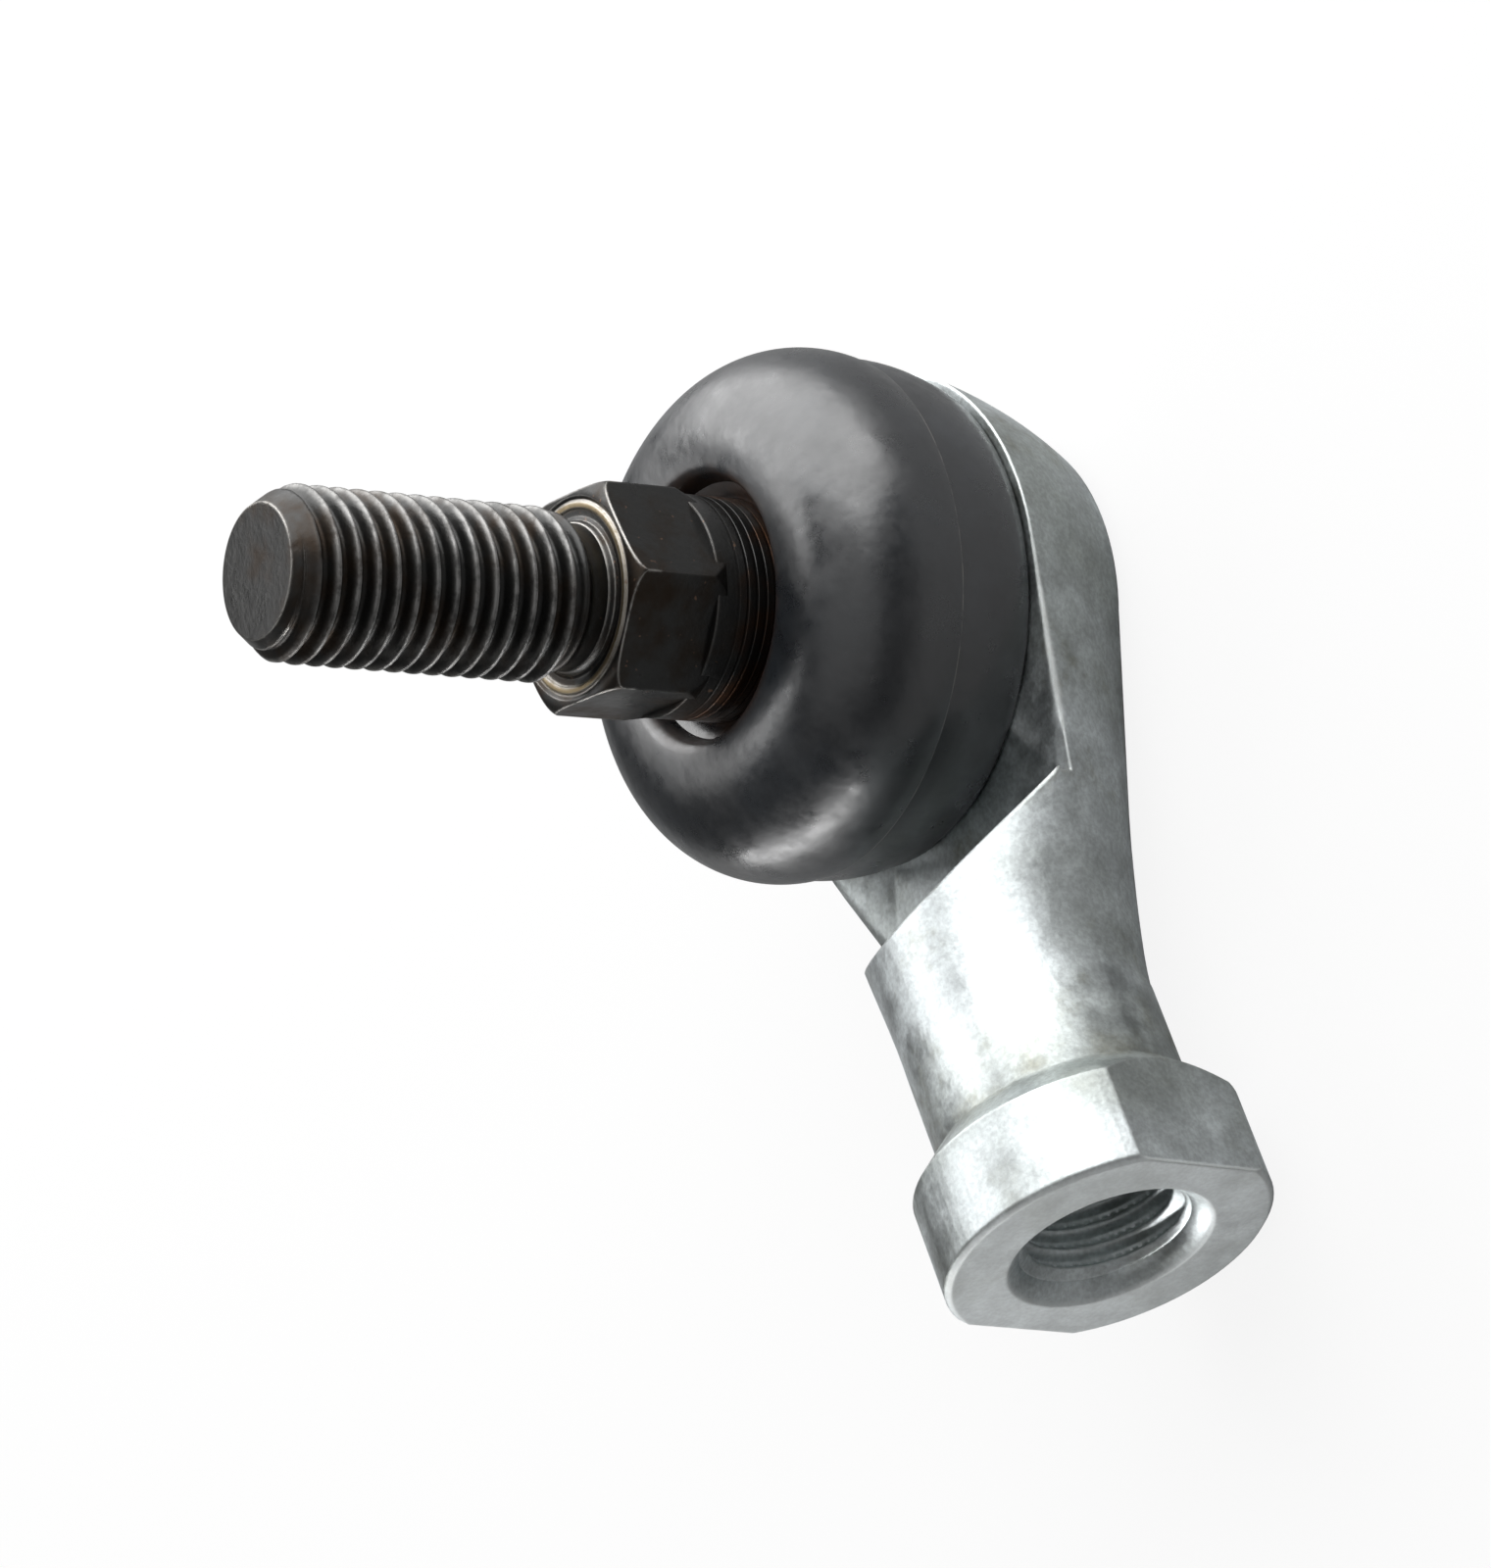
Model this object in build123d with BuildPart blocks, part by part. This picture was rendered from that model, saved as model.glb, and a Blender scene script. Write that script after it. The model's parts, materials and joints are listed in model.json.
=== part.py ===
from build123d import *
import math
import os

# Angle ball joint: a forged holder with a female rod thread, and a ball stud at right angles to it.
# The ball turns in a one-piece seat that a rolled-in end cap holds from the back, and a rubber
# boot covers the gap between the holder and the stud.
#
# Frame: millimetres. Origin at the centre of the back face, +Z along the stud, +X along the rod
# axis out of the thread mouth. The rod axis passes through the ball centre.

os.makedirs("parts", exist_ok=True)

# --- Ball, seat and end cap ---------------------------------------------------------------
ball_diameter = 14.288        # 9/16 in bearing ball
ball_clearance = 0.08         # radial gap between ball and seat
seat_wall = 1.7               # seat wall outside the ball's equator
seat_floor = 0.726            # seat under the ball
seat_rim = 3.8                # seat mouth above the ball centre
seat_drain_radius = 2.5       # grease pocket through the seat floor
seat_gap = 0.05               # gap between the seat and what holds it
cap_thickness = 1.6
cap_step = 0.7                # how far the cap stands outside the seat bore
cap_chamfer = 0.7             # bevel that the rolled lip of the holder lies on

# --- Ball stud ----------------------------------------------------------------------------
tilt_limit = 20.0             # swing of the stud each way, degrees
stud_neck_radius = 4.2
boot_seat_radius = 5.4        # cylinder that carries the boot mouth
boot_seat_base = 7.3          # its lower end above the ball centre
stud_neck_cone = 1.2          # length of the cone from the neck to the boot seat
collar_base = 9.0             # underside of the round collar above the ball centre
collar_radius = 6.45
hex_base = 14.6               # where the hexagon starts above the ball centre
hex_width = 12.0              # across flats
hex_turn = 13.5               # direction of one corner from +X, degrees
hex_corner_radius = 6.93      # turned corners of the hexagon
hex_top = 20.8                # seating face above the ball centre
hex_face_radius = 5.6         # outer edge of the seating face
hex_bevel = 1.7               # height of the rounded bevel on the hexagon's front corners
hex_bevel_radius = 1.8
undercut_radius = 4.2
undercut_width = 1.3
stud_thread_radius = 5.0      # M10 x 1.25, plain at its crest
stud_tip = 41.16              # end of the stud above the ball centre
stud_tip_radius = 3.8
stud_tip_chamfer = 1.66

# --- Holder -------------------------------------------------------------------------------
eye_radius = 14.85            # at the height of the rod axis
eye_narrowing = 3.25          # the forging is this much smaller in radius at its back
eye_crown = 0.38              # how far its side swells between the two
web_depth = 9.0               # back of the forging below the rod axis
front_drop = 0.84             # turned front face below the rod axis
flare_angle = 18.0            # sides of the web against the rod axis, degrees
neck_radius = 7.3
neck_start = 29.0             # where the web has become round
neck_flat = 0.6               # half width that the web's flat underside runs out to
crown_surplus = 0.025         # the web's sides swell a quarter of the neck's radius and this more
flare_blend = 18.0            # radius of the hollow between the web's side and the neck
flare_steps = 6               # sections between the eye and the neck
shoulder_radius = 19.9        # foot of the turned clearance around the stud axis
shoulder_lean = 18.0          # slope of its wall away from the stud, degrees
shoulder_blend = 1.0          # fillet between the wall and the front face
trim_length = 7.0             # trimmed edges of the front face, from the shoulder back
trim_width = 1.15             # at the shoulder
trim_slope = 12.0             # fall of the trimmed strip towards the outline, degrees
hub_wall = 2.1                # hub wall outside the seat bore
hub_height = 4.6              # top of the hub above the ball centre
hub_lid = 0.7                 # lid over the seat
mouth_clearance = 0.2         # gap around the ball at the lid
swing_clearance = 0.45        # gap around the tilted stud neck at the hub's top
boss_wall = 1.4               # rolled boss outside the end cap
boss_round = 0.4              # rolled edge around its back
rod_length = 43.0             # stud axis to the end face
rod_collar_radius = 9.5
rod_collar_width = 5.9
rod_collar_round = 0.3
wrench_width = 16.7           # across the two flats
wrench_turn = -6.0            # turn of the flats about the rod axis, degrees
rod_thread_radius = 5.0       # M10 x 1.25, plain at its root
rod_thread_depth = 17.0
rod_mouth_chamfer = 1.0
drill_tip_angle = 118.0

# --- Dust boot and its ring -----------------------------------------------------------------
boot_fit = 0.1                # gap between the boot and the metal
boot_bead = 3.25              # radial thickness of the boot's foot
boot_groove_depth = 0.5       # groove in the hub for the boot's bead
boot_groove_width = 1.0
boot_groove_base = 0.9        # lower edge of the groove above the front face
skirt_swell = 0.3             # how far the skirt bows out between the foot and the moulding line
bulge_inset = 5.14            # bulge centre circle inside the foot's outer edge
bulge_height = 6.2            # bulge centre circle above the ball centre
bulge_radius = 6.3
crown_turn = 104.0            # where the bulge gives way to the mouth's curl, degrees
heel_turn = -42.0             # where the bulge's inside gives way to the foot, degrees
curl_rise = 0.6               # slope of the curl's underside where it leaves the ring's seat
boot_wall = 1.2
parting_height = 4.7          # moulding line above the ball centre
parting_step = 0.16           # the bulge stands proud of the skirt there
ring_inner_radius = 6.6
ring_thickness = 0.35
ring_base = 8.15              # lower edge of the ring above the ball centre
ring_width = 1.05
lip_floor = 0.45              # rubber under the ring

# --- Derived sizes ----------------------------------------------------------------------------
ball_radius = ball_diameter / 2
socket_radius = ball_radius + ball_clearance
seat_radius = ball_radius + seat_wall
cavity_radius = seat_radius + seat_gap
cap_radius = seat_radius + cap_step
hub_radius = cavity_radius + hub_wall
boss_radius = cap_radius + seat_gap + boss_wall
centre = cap_thickness + seat_gap + seat_floor + socket_radius
web_back = centre - web_depth
eye_back_radius = eye_radius - eye_narrowing
neck_crown = neck_radius / 4 + crown_surplus
web_front = centre - front_drop
hub_top = centre + hub_height
lid_bottom = hub_top - hub_lid
seat_bottom = cap_thickness + seat_gap
rod_axis = Axis((0, 0, centre), (1, 0, 0))


def web_half_width(x):
    """Half width of the holder's outline at x: the eye's tangent, then the hollow, then the neck."""
    turn = math.radians(flare_angle)
    side = (eye_radius - x * math.sin(turn)) / math.cos(turn)
    corner_x = (eye_radius - neck_radius * math.cos(turn)) / math.sin(turn)
    reach = flare_blend * math.tan(turn / 2)
    hollow_end = corner_x + reach
    if x <= corner_x - reach * math.cos(turn):
        return side
    if x >= hollow_end:
        return neck_radius
    return neck_radius + flare_blend - math.sqrt(flare_blend**2 - (hollow_end - x) ** 2)


def between(start, end, share):
    """Value at a share of the way from start to end."""
    return start + share * (end - start)


def on_circle(middle, radius, degrees):
    """Point on a circle in a section, at an angle from the outward direction."""
    turn = math.radians(degrees)
    return (middle[0] + radius * math.cos(turn), middle[1] + radius * math.sin(turn))


# --- Ball seat: one turned liner around the ball ---------------------------------------------
with BuildPart() as ball_seat:
    rim_radius = math.sqrt(socket_radius**2 - seat_rim**2)
    drain_drop = math.sqrt(socket_radius**2 - seat_drain_radius**2)
    with BuildSketch(Plane.XZ):
        with BuildLine():
            Polyline(
                (rim_radius, centre + seat_rim),
                (seat_radius, centre + seat_rim),
                (seat_radius, seat_bottom),
                (seat_drain_radius, seat_bottom),
                (seat_drain_radius, centre - drain_drop),
            )
            ThreePointArc(
                (seat_drain_radius, centre - drain_drop),
                (socket_radius, centre),
                (rim_radius, centre + seat_rim),
            )
        make_face()
    revolve(axis=Axis.Z)
ball_seat.part.label = "ball_seat"
export_step(ball_seat.part, "parts/ball_seat.step")

# --- End cap: a disc whose bevelled rim the boss is rolled over --------------------------------
with BuildPart() as end_cap:
    with BuildSketch(Plane.XY):
        Circle(cap_radius)
    extrude(amount=cap_thickness)
    chamfer(end_cap.edges().group_by(Axis.Z)[0], cap_chamfer)
end_cap.part.label = "end_cap"
export_step(end_cap.part, "parts/end_cap.step")

# --- Ball stud: ball, neck, boot seat, collar, hexagon and thread in one turned piece -----------
with BuildPart() as ball_stud:
    neck_base = math.sqrt(ball_radius**2 - stud_neck_radius**2)
    with BuildSketch(Plane.XZ):
        with BuildLine():
            ThreePointArc(
                (0, centre - ball_radius),
                (ball_radius, centre),
                (stud_neck_radius, centre + neck_base),
            )
            Polyline(
                (stud_neck_radius, centre + neck_base),
                (stud_neck_radius, centre + boot_seat_base - stud_neck_cone),
                (boot_seat_radius, centre + boot_seat_base),
                (boot_seat_radius, centre + collar_base),
                (collar_radius, centre + collar_base),
                (collar_radius, centre + hex_base),
                (hex_corner_radius, centre + hex_base),
                (hex_corner_radius, centre + hex_top - hex_bevel),
            )
            RadiusArc(
                (hex_corner_radius, centre + hex_top - hex_bevel),
                (hex_face_radius, centre + hex_top),
                -hex_bevel_radius,
            )
            Polyline(
                (hex_face_radius, centre + hex_top),
                (undercut_radius, centre + hex_top),
                (undercut_radius, centre + hex_top + undercut_width),
                (stud_thread_radius, centre + hex_top + undercut_width),
                (stud_thread_radius, centre + stud_tip - stud_tip_chamfer),
                (stud_tip_radius, centre + stud_tip),
                (0, centre + stud_tip),
                (0, centre - ball_radius),
            )
        make_face()
    revolve(axis=Axis.Z)
    with BuildSketch(Plane.XY.offset(centre + hex_base)):
        Circle(2 * hex_corner_radius)
        RegularPolygon(
            hex_width / 2, 6, major_radius=False, rotation=hex_turn, mode=Mode.SUBTRACT
        )
    extrude(amount=hex_top - hex_base, mode=Mode.SUBTRACT)
ball_stud.part.label = "ball_stud"
export_step(ball_stud.part, "parts/ball_stud.step")

# --- Holder: forged eye, flared web and round neck, turned and bored ----------------------------
with BuildPart() as holder:
    # Eye: a round forging that swells from its back to the height of the rod axis.
    with BuildSketch(Plane.XZ):
        with BuildLine():
            Polyline((eye_radius, centre), (0, centre), (0, web_back), (eye_back_radius, web_back))
            SagittaArc((eye_back_radius, web_back), (eye_radius, centre), -eye_crown)
        make_face()
    revolve(axis=Axis.Z)

    # Web: from the eye's own section, where its outline leaves the circle, to the round neck. Each
    # section has a flat underside, two swelling sides and an arched top.
    flare_start = eye_radius * math.sin(math.radians(flare_angle))
    eye_flat = math.sqrt(eye_back_radius**2 - flare_start**2)
    neck_bottom = math.sqrt(neck_radius**2 - neck_flat**2)
    eye_end = section(section_by=Plane((flare_start, 0, centre), z_dir=(1, 0, 0)))
    web_sections = [eye_end.face()]
    for step in range(1, flare_steps + 1):
        share = step / flare_steps
        station = between(flare_start, neck_start, share)
        half_width = web_half_width(station)
        flat = between(eye_flat, neck_flat, share)
        bottom = -between(web_depth, neck_bottom, share)
        crown = between(eye_crown, neck_crown, share)
        top = neck_radius * (1 - (1 - share) ** 3)
        station_plane = Plane((station, 0, centre), x_dir=(0, 1, 0), z_dir=(1, 0, 0))
        with BuildSketch(station_plane, mode=Mode.PRIVATE) as web_section:
            with BuildLine():
                Line((-flat, bottom), (flat, bottom))
                SagittaArc((flat, bottom), (half_width, 0), -crown)
                ThreePointArc((half_width, 0), (0, top), (-half_width, 0))
                SagittaArc((-half_width, 0), (-flat, bottom), -crown)
            make_face()
        web_sections.append(web_section.sketch.face())
    loft(web_sections)

    # Neck and wrench collar, turned about the rod axis.
    collar_start = rod_length - rod_collar_width
    cone_start = collar_start - (rod_collar_radius - neck_radius)
    with BuildSketch(Plane.XZ):
        with BuildLine():
            Polyline(
                (neck_start, centre),
                (neck_start, centre + neck_radius),
                (cone_start, centre + neck_radius),
                (collar_start, centre + rod_collar_radius),
                (rod_length - rod_collar_round, centre + rod_collar_radius),
                (rod_length, centre + rod_collar_radius - rod_collar_round),
                (rod_length, centre),
                (neck_start, centre),
            )
        make_face()
    revolve(axis=rod_axis)

    # Two wrench flats across the collar.
    lean = math.radians(wrench_turn)
    across_flats = (0, math.cos(lean), math.sin(lean))
    with BuildSketch(Plane((cone_start, 0, centre), x_dir=across_flats, z_dir=(1, 0, 0))):
        with Locations((wrench_width, 0), (-wrench_width, 0)):
            Rectangle(wrench_width, 2 * wrench_width)
    extrude(amount=rod_length - cone_start, mode=Mode.SUBTRACT)

    # Turned clearance for the boot: flat front face and a wall that leans away from the stud.
    lean = math.radians(shoulder_lean)
    bend = math.pi / 2 - lean
    wall_foot = shoulder_radius - shoulder_blend * math.tan(bend / 2)
    wall_rise = 2 * neck_radius
    wall_reach = shoulder_radius + (front_drop + wall_rise) * math.tan(lean)
    with BuildSketch(Plane.XZ):
        with BuildLine():
            Line((0, web_front), (wall_foot, web_front))
            JernArc((wall_foot, web_front), (1, 0), shoulder_blend, math.degrees(bend))
            Line(
                (
                    wall_foot + shoulder_blend * math.sin(bend),
                    web_front + shoulder_blend * (1 - math.cos(bend)),
                ),
                (wall_reach, centre + wall_rise),
            )
            Polyline((wall_reach, centre + wall_rise), (0, centre + wall_rise), (0, web_front))
        make_face()
    revolve(axis=Axis.Z, mode=Mode.SUBTRACT)

    # Trimmed edges: the front face falls away beside the web's outline, wider at the shoulder.
    edge_run = math.sqrt(shoulder_radius**2 - eye_radius**2)
    turn = math.radians(flare_angle)
    for side in (-1, 1):
        along = Vector(math.cos(turn), -side * math.sin(turn), 0)
        eye_edge = Vector(flare_start, side * eye_radius * math.cos(turn), web_front)
        shoulder_edge = eye_edge + along * edge_run
        near = shoulder_edge - along * trim_length
        far = shoulder_edge - Vector(0, side * trim_width, 0)
        low = shoulder_edge - Vector(0, 0, trim_width * math.tan(math.radians(trim_slope)))
        outward = (far - near).cross(low - near) * side
        with BuildSketch(Plane(far, x_dir=far - near, z_dir=outward)):
            Rectangle(2 * trim_length, trim_length, align=(Align.MAX, Align.CENTER))
        extrude(amount=front_drop, mode=Mode.SUBTRACT)

    # Hub that carries the boot, with a groove for its bead, and the rolled boss at the back.
    with BuildSketch(Plane.XY.offset(web_front)):
        Circle(hub_radius)
    extrude(amount=hub_top - web_front)
    with BuildSketch(Plane.XY.offset(web_front + boot_groove_base)):
        Circle(hub_radius + boot_fit)
        Circle(hub_radius - boot_groove_depth, mode=Mode.SUBTRACT)
    extrude(amount=boot_groove_width, mode=Mode.SUBTRACT)
    with BuildSketch(Plane.XY):
        Circle(boss_radius)
    extrude(amount=web_back)
    fillet(holder.edges().group_by(Axis.Z)[0], boss_round)

    # Seat bore from the back, with the recess and rolled lip that hold the end cap.
    mouth_radius = math.sqrt(ball_radius**2 - (lid_bottom - centre) ** 2) + mouth_clearance
    swing = math.radians(tilt_limit)
    swing_radius = hub_height * math.tan(swing) + stud_neck_radius / math.cos(swing)
    with BuildSketch(Plane.XZ):
        with BuildLine():
            Polyline(
                (0, 0),
                (cap_radius + seat_gap - cap_chamfer, 0),
                (cap_radius + seat_gap, cap_chamfer),
                (cap_radius + seat_gap, seat_bottom),
                (cavity_radius, seat_bottom),
                (cavity_radius, lid_bottom),
                (mouth_radius, lid_bottom),
                (swing_radius + swing_clearance, hub_top),
                (0, hub_top),
                (0, 0),
            )
        make_face()
    revolve(axis=Axis.Z, mode=Mode.SUBTRACT)

    # Blind rod hole: bevelled mouth, wall at the thread's root, drill point.
    hole_end = rod_length - rod_thread_depth
    drill_depth = rod_thread_radius / math.tan(math.radians(drill_tip_angle / 2))
    with BuildSketch(Plane.XZ):
        with BuildLine():
            Polyline(
                (rod_length, centre),
                (rod_length, centre + rod_thread_radius + rod_mouth_chamfer),
                (rod_length - rod_mouth_chamfer, centre + rod_thread_radius),
                (hole_end, centre + rod_thread_radius),
                (hole_end - drill_depth, centre),
                (rod_length, centre),
            )
        make_face()
    revolve(axis=rod_axis, mode=Mode.SUBTRACT)
holder.part.label = "holder"
export_step(holder.part, "parts/holder.step")

# --- Lip ring: thin steel band around the boot's mouth ------------------------------------------
with BuildPart() as lip_ring:
    with BuildSketch(Plane.XY.offset(centre + ring_base)):
        Circle(ring_inner_radius + ring_thickness)
        Circle(ring_inner_radius, mode=Mode.SUBTRACT)
    extrude(amount=ring_width)
lip_ring.part.label = "lip_ring"
export_step(lip_ring.part, "parts/lip_ring.step")

# --- Dust boot: one moulded skin from the hub's groove to the stud's boot seat ----------------
with BuildPart() as dust_boot:
    foot_inner = hub_radius + boot_fit
    foot_outer = foot_inner + boot_bead
    foot_bottom = web_front + boot_fit
    bulge = (foot_outer - bulge_inset, centre + bulge_height)
    inner_radius = bulge_radius - boot_wall
    parting_turn = math.degrees(math.asin((parting_height - bulge_height) / bulge_radius))
    parting = on_circle(bulge, bulge_radius, parting_turn)
    crown_outer = on_circle(bulge, bulge_radius, crown_turn)
    crown_inner = on_circle(bulge, inner_radius, crown_turn)
    heel_inner = on_circle(bulge, inner_radius, heel_turn)
    mid_outer = on_circle(bulge, bulge_radius, (parting_turn + crown_turn) / 2)
    mid_inner = on_circle(bulge, inner_radius, (heel_turn + crown_turn) / 2)
    crown_way = (math.sin(math.radians(crown_turn)), -math.cos(math.radians(crown_turn)))
    ring_outer = ring_inner_radius + ring_thickness
    wall_outer = ring_outer + boot_fit
    lip_outer = ring_inner_radius - boot_fit
    lip_inner = boot_seat_radius + boot_fit
    lip_top = centre + collar_base - boot_fit
    lip_bottom = centre + ring_base - boot_fit - lip_floor
    tongue_bottom = web_front + boot_groove_base + boot_fit
    tongue_top = web_front + boot_groove_base + boot_groove_width - boot_fit
    tongue_inner = hub_radius - boot_groove_depth + boot_fit
    with BuildSketch(Plane.XZ):
        with BuildLine():
            Line((foot_inner, foot_bottom), (foot_outer, foot_bottom))
            SagittaArc(
                (foot_outer, foot_bottom),
                (parting[0] - parting_step, parting[1]),
                -skirt_swell,
            )
            Line((parting[0] - parting_step, parting[1]), parting)
            ThreePointArc(parting, mid_outer, crown_outer)
            Spline(
                crown_outer,
                (wall_outer, centre + ring_base + ring_width),
                tangents=((-crown_way[0], -crown_way[1]), (0, -1)),
            )
            Polyline(
                (wall_outer, centre + ring_base + ring_width),
                (wall_outer, centre + ring_base - boot_fit),
                (lip_outer, centre + ring_base - boot_fit),
                (lip_outer, lip_top),
                (lip_inner, lip_top),
                (lip_inner, lip_bottom),
                (wall_outer, lip_bottom),
            )
            Spline(
                (wall_outer, lip_bottom),
                crown_inner,
                tangents=((1, curl_rise), crown_way),
            )
            ThreePointArc(crown_inner, mid_inner, heel_inner)
            Polyline(
                heel_inner,
                (foot_inner, tongue_top + boot_groove_width),
                (foot_inner, tongue_top),
                (tongue_inner, tongue_top),
                (tongue_inner, tongue_bottom),
                (foot_inner, tongue_bottom),
                (foot_inner, foot_bottom),
            )
        make_face()
    revolve(axis=Axis.Z)
dust_boot.part.label = "dust_boot"
export_step(dust_boot.part, "parts/dust_boot.step")
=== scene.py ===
"""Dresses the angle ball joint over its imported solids.

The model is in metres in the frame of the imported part: origin at the centre of the back face, +Z
along the stud and +X along the rod axis, out of the thread mouth. Sizes below are in millimetres,
and heights along the stud are counted from the ball centre.
"""

from __future__ import annotations

import json
import logging
import math
from collections.abc import Sequence
from dataclasses import dataclass, field
from enum import Enum

import bmesh
import bpy
from mathutils import Matrix, Vector

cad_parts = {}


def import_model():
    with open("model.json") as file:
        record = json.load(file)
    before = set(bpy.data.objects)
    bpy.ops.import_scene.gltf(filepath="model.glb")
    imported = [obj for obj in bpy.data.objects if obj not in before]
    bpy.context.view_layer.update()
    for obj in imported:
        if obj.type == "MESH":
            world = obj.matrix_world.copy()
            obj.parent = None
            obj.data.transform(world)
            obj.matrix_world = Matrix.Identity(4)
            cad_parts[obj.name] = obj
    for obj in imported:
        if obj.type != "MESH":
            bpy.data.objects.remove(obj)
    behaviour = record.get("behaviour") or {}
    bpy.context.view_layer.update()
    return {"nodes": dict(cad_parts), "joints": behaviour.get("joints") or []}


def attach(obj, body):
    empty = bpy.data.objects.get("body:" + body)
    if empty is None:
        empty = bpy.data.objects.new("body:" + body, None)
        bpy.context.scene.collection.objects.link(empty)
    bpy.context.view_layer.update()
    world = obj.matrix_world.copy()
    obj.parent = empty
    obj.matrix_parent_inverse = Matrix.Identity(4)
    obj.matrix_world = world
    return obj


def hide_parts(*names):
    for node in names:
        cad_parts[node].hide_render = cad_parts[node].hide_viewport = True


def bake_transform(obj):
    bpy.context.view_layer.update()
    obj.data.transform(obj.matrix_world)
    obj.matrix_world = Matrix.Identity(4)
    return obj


LOG = logging.getLogger("angle_ball_joint")
MM = 0.001
NOISE = (0.3, 0.7)  # nearly all of a noise texture's values lie between these
Point = tuple[float, float]
Colour = tuple[float, float, float]
Socket = bpy.types.NodeSocket
Material = bpy.types.Material
Piece = bpy.types.Object
WHITE: Colour = (1.0, 1.0, 1.0)


class Body(Enum):
    """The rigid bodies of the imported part."""

    HOLDER = "holder_body"
    BOOT = "boot_body"
    RING = "ring_body"
    STUD = "stud_body"


# --- Node trees ---------------------------------------------------------------------------------


class Graph:
    """Adds nodes to a tree with short calls, so that a formula reads from left to right."""

    def __init__(self, tree: bpy.types.NodeTree) -> None:
        """Starts on a tree.

        Args:
            tree: The shader or geometry tree that receives the nodes.
        """
        self.tree = tree

    def link(self, value: object, socket: Socket) -> None:
        """Links a socket to another, or sets its constant.

        Args:
            value: An output socket, or a plain number, colour or vector.
            socket: The input socket.
        """
        if isinstance(value, Socket):
            self.tree.links.new(value, socket)
        elif hasattr(socket.default_value, "__len__") and not hasattr(value, "__len__"):
            socket.default_value = [value] * len(socket.default_value)
        elif hasattr(socket.default_value, "__len__") and len(socket.default_value) == 4:
            socket.default_value = (*value[:3], 1.0)
        else:
            socket.default_value = value

    def add(self, kind: str, inputs: dict | None = None, **settings: object) -> bpy.types.Node:
        """Adds one node.

        Args:
            kind: The node's type name.
            inputs: Values or sockets by input name or index.
            **settings: Properties of the node itself.

        Returns:
            The new node.
        """
        node = self.tree.nodes.new(kind)
        for name, value in settings.items():
            setattr(node, name, value)
        for key, value in (inputs or {}).items():
            self.link(value, node.inputs[key])
        return node

    def math(self, operation: str, *values: object, clamp: bool = False) -> Socket:
        """Adds a Math node.

        Args:
            operation: The operation's name, such as MULTIPLY.
            *values: Its operands, sockets or numbers.
            clamp: Whether the result is kept between 0 and 1.

        Returns:
            The result's socket.
        """
        node = self.tree.nodes.new("ShaderNodeMath")
        node.operation = operation
        node.use_clamp = clamp
        for index, value in enumerate(values):
            self.link(value, node.inputs[index])
        return node.outputs[0]

    def times(self, first: object, second: object) -> Socket:
        """Multiplies two sockets or numbers."""
        return self.math("MULTIPLY", first, second)

    def ramp(
        self, value: object, low: float, high: float, start: float = 0.0, end: float = 1.0
    ) -> Socket:
        """Maps a value smoothly from one range onto another, held at both ends.

        Args:
            value: The socket that is mapped.
            low: Value that gives start.
            high: Value that gives end.
            start: Result at low.
            end: Result at high.

        Returns:
            The mapped socket.
        """
        node = self.add(
            "ShaderNodeMapRange",
            {"Value": value, "From Min": low, "From Max": high, "To Min": start, "To Max": end},
            interpolation_type="SMOOTHSTEP",
        )
        return node.outputs["Result"]

    def band(self, value: object, middle: float, half: float, soft: float) -> Socket:
        """Gives 1 within a band of a value and 0 outside it.

        Args:
            value: The socket that is tested.
            middle: The band's middle.
            half: Half of its width.
            soft: How far its edges fade.

        Returns:
            The mask's socket.
        """
        distance = self.math("ABSOLUTE", self.math("SUBTRACT", value, middle))
        return self.ramp(distance, half, half + soft, 1.0, 0.0)


@dataclass(frozen=True)
class Grain:
    """A noise texture: repeats in each metre, octaves, and weight of the finer octaves."""

    scale: float
    detail: float
    roughness: float


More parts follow.
